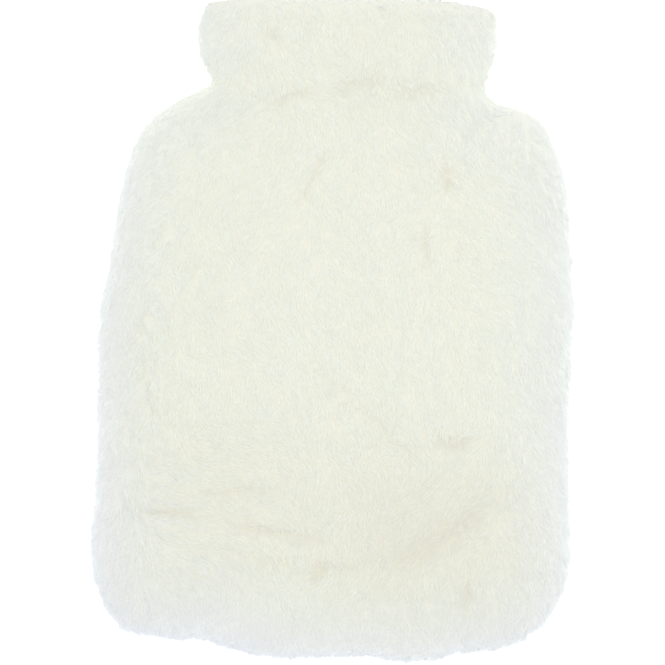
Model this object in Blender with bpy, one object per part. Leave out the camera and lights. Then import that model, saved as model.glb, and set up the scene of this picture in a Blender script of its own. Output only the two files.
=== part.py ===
"""Hot water bottle cover of deep-pile lambskin, lying on its back and plump as if filled.

Two hollow half shells, a front panel and a back panel of hide and wool, meet in a flat seam plane
down both sides and along the bottom. A narrow strip of wool fills the seam and parts into locks
that stand out round the rim. The collar is open at its top, where the bottle goes in.
+X is the viewer's right, +Y points to the collar and +Z to the viewer. The origin is on the
surface that the cover lies on, under the middle of its outline.
"""

import math
from collections import namedtuple

import bmesh
import bpy
import numpy as np
from mathutils import Vector, noise

MM = 0.001

# Driving sizes, in millimetres.
SEAM_HEIGHT = 32.0  # seam plane above the surface
PIECE_GAP = 0.3  # between neighbouring pieces
STRIP_THICKNESS = 4.0  # wool strip in the seam
RIM_HEIGHT = STRIP_THICKNESS / 2 + PIECE_GAP  # from the seam plane to a panel's flat rim
MOUTH_CORNER = 5.0  # radius at each end of the collar's top edge
LIP_ROUND = 10.0  # length over which the wall rounds off at the mouth
LIP_EDGE = 4.0  # thickness of the turned edge that is left at the mouth
LIP_TURN = 1.5  # how far the edge's inner line lies below its outer one
CROWN_POWER = 2.2  # 2 is an ellipse; more is squarer
EDGE_BLEND = 4.0  # how tightly the slopes of the sides and the bottom join

# Gentle unevenness: how far apart its bumps lie, how large they are, and which pattern it takes.
Wave = namedtuple("Wave", "spacing size seed")
LUMPS = (Wave(34.0, 2.4, 0.5), Wave(15.0, 1.3, 7.5))  # in the pile over a panel
RIM_WAVE = Wave(26.0, 1.2, 2.5)  # in a panel's rim
LOCK_PLACES = Wave(7.3, 1.4, 11.0)  # in the locks' places along the seam
LOCK_SLANTS = Wave(5.1, 0.14, 23.0)  # in their slant, against their length
LOCK_LENGTHS = Wave(3.7, 0.15, 31.0)  # in their length, against the way to the outline
LUMP_FADE = 16.0  # distance from the rim over which the lumps grow to their full height

LOCK_COUNT = 148
LOCK_SETBACK = 4.5  # roots behind the panels' rims
LOCK_LEAN = 0.6  # how far the nap pulls the locks down, against straight out
LEAST_OUTWARD = 0.5  # share of a lock's length that points straight out where it leans most
WAIST_PLACE = 0.58  # along a lock
WAIST_WIDTH = 0.82  # against its root

PANEL_COLUMNS = 32
PANEL_ROWS = 44
HOLLOW_STEP = 2  # the hollow's grid has one line for every two of the outside
RIM_CROWDING = 0.55  # 0 spaces the grid lines evenly; 1 crowds them most at the rims
MOUTH_SWAY = 9  # how soon the grid's rows straighten below the mouth
BOTTOM_SWAY = 4  # how soon they straighten above the bottom
SEAM_SAMPLES = 900
TOUCHING = 0.01  # shortest distance from the rim that the crown tells from nothing
SHARP_ANGLE = 50.0  # degrees between faces that are shaded apart

# Rows of the side, bottom and mouth tables: the outline of the wool seen from the front.
EdgePoint = namedtuple("EdgePoint", "across height tips")
LEFT_SIDE = (
    EdgePoint(-72.0, 351.5, 2.4),
    EdgePoint(-73.8, 341.0, 2.4),
    EdgePoint(-70.5, 327.0, 2.4),
    EdgePoint(-66.0, 317.5, 2.4),
    EdgePoint(-71.0, 309.0, 2.6),
    EdgePoint(-85.0, 302.0, 3.0),
    EdgePoint(-97.5, 294.0, 3.4),
    EdgePoint(-106.5, 282.0, 3.6),
    EdgePoint(-113.0, 264.0, 4.0),
    EdgePoint(-118.0, 242.0, 4.0),
    EdgePoint(-122.0, 211.0, 4.0),
    EdgePoint(-126.5, 176.0, 4.4),
    EdgePoint(-128.0, 130.0, 4.4),
    EdgePoint(-130.0, 86.0, 5.0),
    EdgePoint(-131.0, 57.0, 5.0),
    EdgePoint(-127.5, 38.0, 5.4),
)
BOTTOM = (
    EdgePoint(-117.5, 22.5, 6.0),
    EdgePoint(-97.0, 14.5, 6.0),
    EdgePoint(-68.0, 10.5, 6.0),
    EdgePoint(-38.0, 5.0, 6.0),
    EdgePoint(2.0, 3.0, 6.0),
    EdgePoint(44.0, 2.0, 6.0),
    EdgePoint(74.0, 5.0, 6.0),
    EdgePoint(97.0, 11.0, 6.0),
    EdgePoint(112.5, 20.5, 6.0),
)
RIGHT_SIDE = (
    EdgePoint(122.5, 36.0, 5.4),
    EdgePoint(128.0, 55.0, 5.0),
    EdgePoint(128.8, 84.0, 5.0),
    EdgePoint(127.5, 126.0, 4.4),
    EdgePoint(129.5, 176.0, 4.4),
    EdgePoint(130.0, 214.0, 4.0),
    EdgePoint(128.0, 247.0, 4.0),
    EdgePoint(122.5, 270.0, 3.6),
    EdgePoint(115.0, 288.0, 3.4),
    EdgePoint(104.0, 298.5, 3.0),
    EdgePoint(90.0, 304.0, 2.6),
    EdgePoint(82.8, 312.0, 2.4),
    EdgePoint(86.0, 325.0, 2.4),
    EdgePoint(89.6, 338.0, 2.4),
    EdgePoint(89.0, 347.5, 2.4),
)
MouthPoint = namedtuple("MouthPoint", "across height")
MOUTH_TOP = (
    MouthPoint(-75.0, 356.0),
    MouthPoint(-50.0, 359.4),
    MouthPoint(-10.0, 360.0),
    MouthPoint(40.0, 359.4),
    MouthPoint(70.0, 356.6),
    MouthPoint(92.0, 352.0),
)

# Rows of the section table: how far the outside and the hollow stand from the seam plane, the
# wall's width in the seam plane, and how far in from the rim the crown goes on rising.
Section = namedtuple("Section", "height front back hollow_front hollow_back wall reach")
SECTIONS = (
    Section(0.0, 39.0, 38.0, 22.0, 16.0, 17.5, 106.0),
    Section(70.0, 40.0, 39.0, 23.0, 17.0, 17.5, 110.0),
    Section(180.0, 40.0, 39.0, 23.0, 17.0, 17.0, 110.0),
    Section(245.0, 37.5, 37.0, 21.0, 16.5, 16.5, 100.0),
    Section(288.0, 31.0, 30.0, 15.0, 14.0, 15.5, 78.0),
    Section(314.0, 26.5, 25.5, 11.0, 10.5, 14.5, 60.0),
    Section(336.0, 27.5, 26.5, 12.5, 12.0, 14.0, 62.0),
    Section(361.0, 26.5, 25.5, 13.0, 12.5, 13.5, 62.0),
)

# Rows of the fold table: partings and hollows in the front's pile. A fold is a trough `length`
# long and `width` wide round its middle, turned `angle` degrees from +X.
Fold = namedtuple("Fold", "name across height length width angle depth")
FRONT_FOLDS = (
    Fold("neck crease, right", 38.0, 310.0, 52.0, 11.0, -4.0, 2.2),
    Fold("neck crease, left", -30.0, 306.0, 46.0, 11.0, 12.0, 1.8),
    Fold("parting below the neck", -9.0, 262.0, 42.0, 13.0, 62.0, 1.6),
    Fold("slanting parting", 15.0, 140.0, 72.0, 15.0, -44.0, 1.8),
    Fold("dent at the left", -99.0, 164.0, 70.0, 16.0, -80.0, 2.0),
    Fold("wave, lower left", -60.0, 82.0, 110.0, 15.0, -9.0, 1.8),
    Fold("second wave, lower left", -52.0, 52.0, 90.0, 14.0, -3.0, 1.4),
    Fold("hollow, lower right", 53.0, 72.0, 100.0, 76.0, 12.0, 3.4),
    Fold("streak in the hollow", 61.0, 72.0, 66.0, 15.0, 34.0, 1.4),
)

PileMaterial = namedtuple("PileMaterial", "colour roughness")
FRONT_WOOL = PileMaterial((0.84, 0.86, 0.75), 0.95)
BACK_WOOL = PileMaterial((0.81, 0.83, 0.73), 0.95)
RIM_WOOL = PileMaterial((0.80, 0.85, 0.86), 0.95)

Panel = namedtuple("Panel", "name side crown hollow folds wool")
PANELS = (
    Panel("front_panel", 1.0, "front", "hollow_front", FRONT_FOLDS, FRONT_WOOL),
    Panel("back_panel", -1.0, "back", "hollow_back", (), BACK_WOOL),
)


def clear_scene():
    for obj in list(bpy.data.objects):
        bpy.data.objects.remove(obj, do_unlink=True)


def through(knots, values, at):
    """A smooth curve's values at the given places, through one value at each knot."""
    knots, values = np.asarray(knots, float), np.asarray(values, float)
    slopes = np.gradient(values, knots, axis=0)
    first = np.clip(np.searchsorted(knots, at) - 1, 0, len(knots) - 2)
    span = knots[first + 1] - knots[first]
    t = np.clip((at - knots[first]) / span, 0.0, 1.0)
    return (
        values[first] * (2 * t**3 - 3 * t**2 + 1)
        + slopes[first] * span * (t**3 - 2 * t**2 + t)
        + values[first + 1] * (3 * t**2 - 2 * t**3)
        + slopes[first + 1] * span * (t**3 - t**2)
    )


def section_column(name, height):
    """One column of the section table, read smoothly at the given heights."""
    knots = [section.height for section in SECTIONS]
    return through(knots, [getattr(section, name) for section in SECTIONS], height)


def unevenness(wave, along, side=0.0):
    """A wave's value at each length along a line, between about -size and size."""
    spots = [Vector((length / wave.spacing, wave.seed, side)) for length in along]
    return np.array([2 * wave.size * noise.noise(spot) for spot in spots])


def lumps(points, side):
    """Unevenness of the pile over a panel, in millimetres."""
    total = np.zeros(points.shape[:-1])
    for wave in LUMPS:
        for place in np.ndindex(total.shape):
            x, y = points[place] / wave.spacing
            total[place] += wave.size * noise.noise(Vector((x, y, wave.seed + side)))
    return total


class Seam:
    """The outline of the wool from the collar's left corner round the bottom to its right one."""

    def __init__(self):
        rows = LEFT_SIDE + BOTTOM + RIGHT_SIDE
        knots = [0.0]
        for before, row in zip(rows, rows[1:]):
            step = math.hypot(row.across - before.across, row.height - before.height)
            knots.append(knots[-1] + step)
        self.length = knots[-1]
        self.left_corner = knots[len(LEFT_SIDE)]
        self.right_corner = knots[len(LEFT_SIDE) + len(BOTTOM) - 1]
        self.arc = np.linspace(0.0, self.length, SEAM_SAMPLES)
        across = through(knots, [row.across for row in rows], self.arc)
        height = through(knots, [row.height for row in rows], self.arc)
        self.tips = through(knots, [row.tips for row in rows], self.arc)
        self.points = np.stack([across, height], axis=1)
        along = np.gradient(self.points, self.arc, axis=0)
        along /= np.linalg.norm(along, axis=1, keepdims=True)
        self.out = np.stack([along[:, 1], -along[:, 0]], axis=1)
        self.out[0], self.out[-1] = (-1.0, 0.0), (1.0, 0.0)
        self.wall = section_column("wall", height)

    def inset(self, depth):
        """The outline moved inwards, by a different depth at each sample if need be."""
        return self.points - self.out * np.reshape(depth, (-1, 1))

    def at(self, line, arc):
        """Values of a line that runs beside the outline, at the given lengths along it."""
        line = np.asarray(line, float).reshape(SEAM_SAMPLES, -1)
        return np.stack([np.interp(arc, self.arc, column) for column in line.T], axis=-1)

    def stretches(self, line):
        """Left side, bottom and right side of a line that runs beside the outline."""
        left = self.arc <= self.left_corner
        right = self.arc >= self.right_corner
        return line[left], line[~left & ~right], line[right]


def crowded(count):
    """Fractions from 0 to 1 that lie closer together towards both ends."""
    even = np.linspace(0.0, 1.0, count + 1)
    round_spaced = 0.5 - 0.5 * np.cos(np.pi * even)
    return (1 - RIM_CROWDING) * even + RIM_CROWDING * round_spaced


def mouth_line(left_end, right_end, fractions):
    """The collar's top edge between two points of its side seams, with rounded ends."""
    x = left_end[0] + (right_end[0] - left_end[0]) * fractions
    top = through([p.across for p in MOUTH_TOP], [p.height for p in MOUTH_TOP], x)
    from_end = np.minimum(x - left_end[0], right_end[0] - x)
    short = 1 - np.clip(from_end / MOUTH_CORNER, 0.0, 1.0)
    return np.stack([x, top - MOUTH_CORNER * (1 - np.sqrt(1 - short**2))], axis=1)


def filled_outline(seam, line, columns, rows, mouth_depth=0.0):
    """Grid points (column, row) over the area inside a line, from the bottom up to the mouth."""
    u, v = crowded(columns), crowded(rows)
    left = seam.at(line, seam.left_corner * (1 - v))
    right = seam.at(line, seam.right_corner + (seam.length - seam.right_corner) * v)
    bottom_length = seam.right_corner - seam.left_corner
    bottom = seam.at(line, seam.left_corner + bottom_length * u)
    mouth = mouth_line(left[-1], right[-1], u) - np.array([0.0, mouth_depth])
    mouth[0], mouth[-1] = left[-1], right[-1]
    u, v = u[:, None], v[None, :, None]
    bottom_sway = bottom - (1 - u) * bottom[0] - u * bottom[-1]
    mouth_sway = mouth - (1 - u) * mouth[0] - u * mouth[-1]
    ruled = (1 - u)[:, None] * left[None] + u[:, None] * right[None]
    ruled = ruled + (1 - v) ** BOTTOM_SWAY * bottom_sway[:, None]
    return ruled + v**MOUTH_SWAY * mouth_sway[:, None]


def distance_to(points, line):
    """Shortest distance from each grid point to the samples of a line."""
    apart = points[:, :, None, :] - line[None, None, :, :]
    return np.sqrt((apart**2).sum(axis=-1)).min(axis=-1)


def rim_distance(seam, points, line):
    """Distance in from the rim, eased where the slopes of two sides meet."""
    total = np.zeros(points.shape[:2])
    for stretch in seam.stretches(line):
        total += np.maximum(distance_to(points, stretch), TOUCHING) ** -EDGE_BLEND
    inward = total ** (-1 / EDGE_BLEND)
    inward[0], inward[-1], inward[:, 0] = 0.0, 0.0, 0.0
    return inward


def crown(inward, reach):
    """Share of the full height at a distance in from the rim: round at the rim, flat inside."""
    short = 1 - np.clip(inward / reach, 0.0, 1.0)
    return (1 - short**CROWN_POWER) ** (1 / CROWN_POWER)


def trough(fold, points):
    """Depth of one fold at each grid point."""
    turn = math.radians(fold.angle)
    x, y = points[..., 0] - fold.across, points[..., 1] - fold.height
    along = (x * math.cos(turn) + y * math.sin(turn)) / (fold.length / 2)
    aside = (y * math.cos(turn) - x * math.sin(turn)) / (fold.width / 2)
    return fold.depth * np.exp(-(along**2) - aside**2)


def mouth_fullness(points):
    """0 at the collar's top edge, growing to 1 where the wall has its full thickness."""
    below = (points[:, -1:, 1] - points[..., 1]) / LIP_ROUND
    return np.sqrt(1 - (1 - np.clip(below, 0.0, 1.0)) ** 2)


def rise(panel, column, seam, line, points):
    """How far a panel's outside or hollow stands from its rim, which runs along a line."""
    inward = rim_distance(seam, points, line)
    inset = float(np.linalg.norm(line[0] - seam.points[0]))
    share = crown(inward, section_column("reach", points[..., 1]) - inset)
    height = section_column(column, points[..., 1]) - RIM_HEIGHT
    uneven = np.zeros(share.shape)
    if column == panel.crown:
        uneven = lumps(points, panel.side) - sum(trough(fold, points) for fold in panel.folds)
    return height * share + uneven * np.clip(inward / LUMP_FADE, 0.0, 1.0)


def rounded_at_mouth(points, height, edge):
    """A surface brought round to the turned edge at the mouth, and down to the seam at its rim."""
    height = edge[:, None] + (height - edge[:, None]) * mouth_fullness(points)
    height[0], height[-1], height[:, 0] = 0.0, 0.0, 0.0
    return height


def panel_surfaces(panel, seam, rim):
    """(outside, hollow): grids of 3-D points of one panel's two surfaces."""
    hollow_rim = seam.inset(seam.wall)
    counts = PANEL_COLUMNS // HOLLOW_STEP, PANEL_ROWS // HOLLOW_STEP
    outer = filled_outline(seam, rim, PANEL_COLUMNS, PANEL_ROWS)
    inner = filled_outline(seam, hollow_rim, *counts, mouth_depth=LIP_TURN)
    outside = rise(panel, panel.crown, seam, rim, outer)
    hollow = rise(panel, panel.hollow, seam, hollow_rim, inner)

    # At the mouth the wall rounds off to a narrow turned edge midway between the two surfaces.
    hollow_at_mouth = np.interp(crowded(PANEL_COLUMNS), crowded(counts[0]), hollow[:, -1])
    middle = (outside[:, -1] + hollow_at_mouth) / 2
    outer_edge = np.minimum(middle + LIP_EDGE / 2, outside[:, -1])
    inner_edge = np.maximum(middle[::HOLLOW_STEP] - LIP_EDGE / 2, hollow[:, -1])
    outside = rounded_at_mouth(outer, outside, outer_edge)
    hollow = rounded_at_mouth(inner, hollow, inner_edge)

    # The side that lies down is pressed flat on the surface.
    outside = np.maximum(SEAM_HEIGHT + panel.side * (RIM_HEIGHT + outside), 0.0)
    hollow = SEAM_HEIGHT + panel.side * (RIM_HEIGHT + hollow)
    return np.dstack([outer, outside]), np.dstack([inner, hollow])


def add_grid(bm, points):
    """Adds a grid's vertices and faces, and returns the vertices of its edge in order."""
    columns, rows = points.shape[:2]
    verts = np.empty((columns, rows), dtype=object)
    for place in np.ndindex(columns, rows):
        verts[place] = bm.verts.new(points[place] * MM)
    for i in range(columns - 1):
        for j in range(rows - 1):
            bm.faces.new((verts[i, j], verts[i + 1, j], verts[i + 1, j + 1], verts[i, j + 1]))
    return [
        *verts[0, :-1],
        *verts[:-1, -1],
        *verts[-1, :0:-1],
        *verts[:0:-1, 0],
    ]


def join_edges(bm, fine, coarse):
    """Joins the outside's edge to the hollow's, which has half as many points."""
    for k, here in enumerate(coarse):
        there = coarse[(k + 1) % len(coarse)]
        first, middle, last = (fine[(2 * k + step) % len(fine)] for step in range(3))
        bm.faces.new((first, middle, here))
        bm.faces.new((here, middle, there))
        bm.faces.new((middle, last, there))


def finish_object(name, bm, wool):
    """Closes the bmesh into an object of its own, with its own material."""
    bmesh.ops.recalc_face_normals(bm, faces=bm.faces)
    mesh = bpy.data.meshes.new(name)
    bm.to_mesh(mesh)
    bm.free()
    mesh.shade_smooth()
    mesh.set_sharp_from_angle(angle=math.radians(SHARP_ANGLE))
    obj = bpy.data.objects.new(name, mesh)
    material = bpy.data.materials.new(name)
    material.use_nodes = True
    shader = material.node_tree.nodes["Principled BSDF"]
    shader.inputs["Base Color"].default_value = (*wool.colour, 1.0)
    shader.inputs["Roughness"].default_value = wool.roughness
    shader.inputs["Metallic"].default_value = 0.0
    mesh.materials.append(material)
    bpy.context.scene.collection.objects.link(obj)
    return obj


def make_panel(panel, seam):
    """A half shell of hide and wool with a hollow for the bottle, open at the collar."""
    rim = seam.inset(seam.tips + unevenness(RIM_WAVE, seam.arc, panel.side))
    outside, hollow = panel_surfaces(panel, seam, rim)
    bm = bmesh.new()
    fine = add_grid(bm, outside)
    coarse = add_grid(bm, hollow)
    join_edges(bm, fine, coarse)
    return finish_object(panel.name, bm, panel.wool)


def lock_ways(seam, arcs):
    """At each length along the seam, the way from a lock's root to the outline of the wool."""
    out = seam.at(seam.out, arcs)
    way = out + np.array([0.0, -LOCK_LEAN])
    way /= np.linalg.norm(way, axis=1, keepdims=True)
    outward = np.maximum((way * out).sum(axis=1, keepdims=True), LEAST_OUTWARD)
    return way * (seam.at(seam.tips, arcs) + LOCK_SETBACK) / outward


def add_lock(bm, root, waist, tip):
    """Four tapering sides from a root to a waist, and four more to a point."""
    for a, b in ((0, 1), (1, 2), (2, 3), (3, 0)):
        bm.faces.new((root[a], root[b], waist[b], waist[a]))
        bm.faces.new((waist[a], waist[b], tip))


def make_rim_wool(seam):
    """The strip of wool in the seam, with its locks leaning down with the nap."""
    arcs = np.linspace(0.0, seam.length, LOCK_COUNT + 1)
    arcs[1:-1] += unevenness(LOCK_PLACES, arcs[1:-1])
    middles = (arcs[:-1] + arcs[1:]) / 2
    inner = seam.at(seam.inset(seam.wall), arcs)
    outer = seam.at(seam.inset(seam.tips + LOCK_SETBACK), arcs)
    ways = lock_ways(seam, arcs)
    lengths = 1 + unevenness(LOCK_LENGTHS, middles)
    slants = unevenness(LOCK_SLANTS, middles)
    bm = bmesh.new()

    def vert(point, z):
        return bm.verts.new((point[0] * MM, point[1] * MM, (SEAM_HEIGHT + z) * MM))

    def ring(a, b, half):
        return vert(a, half), vert(b, half), vert(b, -half), vert(a, -half)

    sections = [ring(a, b, STRIP_THICKNESS / 2) for a, b in zip(inner, outer)]
    bm.faces.new(sections[0])
    bm.faces.new(sections[-1])
    waists = outer + ways * WAIST_PLACE
    for k, (here, there) in enumerate(zip(sections, sections[1:])):
        for a, b in ((0, 1), (2, 3), (3, 0)):
            bm.faces.new((here[a], here[b], there[b], there[a]))
        trim = (waists[k + 1] - waists[k]) * (1 - WAIST_WIDTH) / 2
        waist = ring(waists[k] + trim, waists[k + 1] - trim, STRIP_THICKNESS / 2 * WAIST_WIDTH)
        way = (ways[k] + ways[k + 1]) / 2
        tip = (outer[k] + outer[k + 1]) / 2 + way * lengths[k]
        tip += np.array([-way[1], way[0]]) * slants[k]
        add_lock(bm, (here[1], there[1], there[2], here[2]), waist, vert(tip, 0.0))
    return finish_object("rim_wool", bm, RIM_WOOL)


def centre_on_footprint(objects):
    """Moves the meshes so that the whole lies round the Y and X axes, on the surface."""
    corners = np.array([v.co[:2] for obj in objects for v in obj.data.vertices])
    middle = (corners.min(axis=0) + corners.max(axis=0)) / 2
    for obj in objects:
        for vertex in obj.data.vertices:
            vertex.co[0] -= middle[0]
            vertex.co[1] -= middle[1]


def main():
    clear_scene()
    seam = Seam()
    objects = [make_panel(panel, seam) for panel in PANELS]
    objects.append(make_rim_wool(seam))
    centre_on_footprint(objects)


main()
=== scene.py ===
"""Wool, hide and studio for a lambskin hot water bottle cover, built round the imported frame.

Each panel becomes an even skin that follows its solid, and narrow locks of wool are laid over
the skins and the seam, in tufts that lie down towards the foot and out over the rim.
"""

import math
from collections import namedtuple

import bmesh
import bpy
import numpy as np
from bpy.props import FloatProperty, FloatVectorProperty, IntProperty, PointerProperty
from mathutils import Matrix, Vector, noise
from mathutils.bvhtree import BVHTree
from mathutils.kdtree import KDTree


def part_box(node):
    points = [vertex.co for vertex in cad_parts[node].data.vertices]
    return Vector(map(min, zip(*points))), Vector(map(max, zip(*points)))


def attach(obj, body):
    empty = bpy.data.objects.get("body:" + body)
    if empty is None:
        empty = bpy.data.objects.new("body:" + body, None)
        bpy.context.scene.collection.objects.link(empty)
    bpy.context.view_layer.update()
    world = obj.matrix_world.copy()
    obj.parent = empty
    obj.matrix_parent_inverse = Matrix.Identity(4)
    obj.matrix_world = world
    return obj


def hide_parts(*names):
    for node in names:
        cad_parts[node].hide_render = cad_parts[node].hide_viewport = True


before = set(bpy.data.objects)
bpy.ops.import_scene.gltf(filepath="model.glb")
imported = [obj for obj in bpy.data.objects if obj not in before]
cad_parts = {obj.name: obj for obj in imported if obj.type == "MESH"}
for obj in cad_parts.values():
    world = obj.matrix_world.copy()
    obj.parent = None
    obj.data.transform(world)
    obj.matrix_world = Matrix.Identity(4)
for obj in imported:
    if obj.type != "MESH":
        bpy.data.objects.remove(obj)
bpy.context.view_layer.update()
SEAM_HEIGHT = sum(corner.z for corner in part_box("rim_wool")) / 2

bl_info = {
    "name": "Lambskin hot water bottle cover",
    "version": (1, 0, 0),
    "blender": (4, 5, 0),
    "location": "3D View > Sidebar > Cover",
    "description": "Wool pile, hide and studio for a lambskin hot water bottle cover",
    "category": "Object",
}

MM = 0.001
UP = np.array([0.0, 0.0, 1.0])
BAKE_MAP = "OFBake"

# A lock is a four-sided face and a triangle at its tip.
LOCK_STEPS = np.array([0.0, 0.55, 1.0])  # places along a lock
LOCK_TAPER = np.array([0.8, 1.0])  # its width there, and 0 at its tip
LOCK_CORNERS = np.array([1, 0, 2, 3, 3, 2, 4])
LOCK_MARKS = {"painted_rim_light": 12, "deep": 6, "own": 4}  # each lock has these marks, in so many even steps: painted cool rim light, root tint with painted shade in folds, and its own tone
SKIN_TONE = 0.4  # the own mark of a skin, in the range of the locks'

# The outline of the wool in plan, where the solid's locks don't give it, in millimetres. The left
# side runs down from the collar, and the right side up to it.
LEFT_NECK = (
    # across, along
    (-73.2, 169.0),
    (-73.8, 161.0),
    (-73.2, 154.0),
    (-70.6, 148.5),
    (-68.2, 142.0),
    (-65.2, 137.0),
    (-65.8, 133.0),
    (-72.0, 129.5),
    (-79.5, 125.8),
    (-86.5, 122.0),
    (-93.0, 117.4),
    (-99.0, 113.0),
    (-102.6, 108.5),
    (-105.8, 102.5),
)
RIGHT_NECK = (
    # across, along
    (118.0, 103.0),
    (115.4, 109.0),
    (112.0, 113.5),
    (107.0, 116.8),
    (101.0, 119.4),
    (94.0, 121.0),
    (87.6, 122.6),
    (84.4, 125.6),
    (82.4, 129.5),
    (82.6, 133.5),
    (84.2, 138.0),
    (86.0, 143.5),
    (88.2, 149.0),
    (89.0, 155.5),
    (89.6, 162.0),
    (90.0, 169.0),
)
SHOULDER = 99.0  # below this the outline is that of the solid's locks
COLLAR_TOP = (
    # across, along
    (-74.5, 160.0),
    (-73.6, 167.0),
    (-71.6, 171.7),
    (-69.5, 175.0),
    (-64.0, 177.0),
    (-55.0, 178.2),
    (-44.0, 178.7),
    (30.0, 178.7),
    (44.0, 178.0),
    (60.0, 176.6),
    (76.0, 174.8),
    (83.0, 173.2),
    (87.0, 171.4),
    (89.6, 168.4),
    (90.5, 163.0),
)

# Where the wool stands further out or in than the solid's locks, in millimetres.
EdgeShift = namedtuple("EdgeShift", "name across along further over")
EDGE_SHIFTS = (
    EdgeShift("left side", -125.0, 4.0, 1.6, 26.0),
    EdgeShift("low left corner", -112.0, -161.0, 2.4, 9.0),
    EdgeShift("hem, far left", -74.0, -169.0, -1.3, 17.0),
    EdgeShift("hem, left", -41.0, -175.0, 0.7, 10.0),
    EdgeShift("hem, middle", 16.0, -177.0, -1.7, 15.0),
    EdgeShift("hem, right", 72.0, -173.0, -2.2, 12.0),
    EdgeShift("low right corner", 113.0, -160.0, 0.8, 9.0),
    EdgeShift("above the right corner", 126.0, -132.0, 1.6, 10.0),
    EdgeShift("right side, low", 128.0, -108.0, -1.6, 8.0),
)
OUTLINE_SPACING = 1.5 * MM

# How far the locks reach beyond the skins: along and reach, in millimetres.
FRINGE = ((-160.0, 1.7), (-110.0, 1.4), (90.0, 1.2), (130.0, 0.7))
FRINGE_DROP = 1.2 * MM  # how much less they reach where the outline faces the collar

# How much painted cool light the wool at the rim gets, as if light shone through its thin pile: along, in
# millimetres, and share.
RIM_LIGHT_SHARE = (
    (-165.0, 1.0),
    (-130.0, 0.88),
    (0.0, 0.75),
    (80.0, 0.68),
    (105.0, 0.5),
    (120.0, 0.42),
    (134.0, 0.1),
    (148.0, 0.45),
    (170.0, 0.5),
)
COOL_BAND = 51 * MM  # how far in from the rim the painted cool light still reaches
COOL_BAND_RIGHT = 11 * MM  # how much further in on the right
COOL_BAND_LOW = 0.6  # how much further in at the left, for each millimetre below LOW_START
LOW_START, LOW_RANGE = -60 * MM, 40 * MM
COOL_FADE = 1.7
COOL_LEAN = 0.07  # how much less painted cool light there is on the right, and more on the left
FULLY_ASIDE = 60 * MM  # how far from the middle line is fully left or right
COOL_LIP = 8 * MM  # how far down from the collar's top the painted cool light reaches
# share of painted cool light at the collar's top edge
LIP_LIGHT_SHARE = 0.6

# Partings and hollows in the front's pile, in millimetres and degrees from +X. A parting's colour is a
# yellower root tint with painted shade in its crease.
Fold = namedtuple("Fold", "name across along length width angle depth warmth")
PARTINGS = (
    Fold("neck crease, right", 44.0, 129.5, 26.0, 4.0, -3.0, 0.5, 0.6),
    Fold("neck crease, middle", 13.0, 133.0, 30.0, 4.0, 14.0, 0.5, 0.8),
    Fold("neck crease, left", -22.0, 125.5, 22.0, 4.0, 16.0, 0.6, 0.7),
    Fold("parting below the neck", -9.0, 82.0, 32.0, 3.0, 62.0, 0.7, 0.5),
    Fold("slanting parting", 15.0, -40.0, 60.0, 3.5, -44.0, 0.6, 0.3),
    Fold("dent, upper left", -102.0, 2.0, 28.0, 4.0, 70.0, 0.7, 0.2),
    Fold("dent, left", -98.0, -28.0, 34.0, 4.0, -80.0, 0.7, 0.2),
    Fold("mark, upper right", 50.0, 45.0, 19.0, 3.0, -88.0, 0.9, 0.9),
    Fold("mark, higher right", 60.0, 82.0, 15.0, 4.0, -86.0, 0.5, 0.8),
    Fold("mark above the hollow", 64.0, -56.5, 24.0, 4.0, -4.0, 0.9, 1.0),
    Fold("wave, far left", -88.0, -96.0, 30.0, 3.5, -5.0, 0.8, 0.7),
    Fold("wave, left of the middle", -30.0, -104.0, 54.0, 4.0, -7.0, 0.9, 0.7),
    Fold("wave, lower", -18.0, -121.0, 60.0, 3.5, -6.0, 0.7, 0.5),
    Fold("wave, upper", -52.0, -84.0, 44.0, 3.5, 8.0, 0.6, 0.4),
    Fold("low mark, right", 71.0, -139.0, 17.0, 3.5, 86.0, 0.9, 0.8),
    Fold("low mark, middle", -6.0, -125.0, 12.0, 4.0, 80.0, 0.9, 0.9),
    Fold("collar dent", -33.0, 158.0, 14.0, 4.0, -40.0, 0.7, 0.6),
)
HOLLOWS = (  # their form is the solid's, and only painted shade is added to their colour
    Fold("hollow, lower right", 56.0, -106.0, 104.0, 72.0, 12.0, 0.0, 1.1),
    Fold("streak in the hollow", 60.0, -107.0, 62.0, 11.0, 34.0, 0.0, 1.1),
    Fold("below the middle", -20.0, -90.0, 190.0, 90.0, -4.0, 0.0, 0.7),
)
PARTING_DEPTH = 0.8 * MM  # of a parting whose depth is 1
PARTING_TINT_AND_SHADE, HOLLOW_SHADE = 0.8, 0.3  # share of root colour in a fold whose warmth is 1: root tint with painted shade in a parting, painted shade in a hollow
COLOUR_SPREAD, NAP_SPREAD = 1.3, 2.4  # how much wider a parting's colour and nap are than its form

# Where the nap turns away from the straight way down, in millimetres and degrees from +X.
Turn = namedtuple("Turn", "name across along wide tall angle share")
TURNS = (
    Turn("waves, lower left", -72.0, -100.0, 52.0, 42.0, -14.0, 0.85),
    Turn("hollow", 60.0, -100.0, 55.0, 36.0, 214.0, 0.6),
    Turn("neck", 8.0, 132.0, 60.0, 14.0, -20.0, 0.4),
)
NAP_EDGE = 16 * MM  # how far in from the outline the nap turns out over the rim
NAP_OUT, NAP_OUT_DROP = 1.6, 1.2  # how much it turns out, and how much less towards the collar
NAP_ASIDE = 0.4  # how much it turns away from a parting
NAP_FALL = 0.2  # how much it turns towards the seam at the rim
NAP_LIP, LIP_START = 0.5, 168 * MM  # how much it turns away from the seam at the top, and from where

# Unevenness: how far apart its waves are, in millimetres, how large they are, in millimetres or
# radians, and the seed of their pattern.
Wave = namedtuple("Wave", "spacing size seed")
PILE_WAVES = (Wave(13.0, 0.4, 3.0), Wave(6.0, 0.2, 9.0))
NAP_WAVES = (Wave(42.0, 1.0, 1.0), Wave(15.0, 0.7, 5.0), Wave(7.0, 0.6, 8.0))
TUFT_WAVES = (Wave(4.0, 3.6, 2.0),)  # in the length of the tufts at the rim

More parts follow.
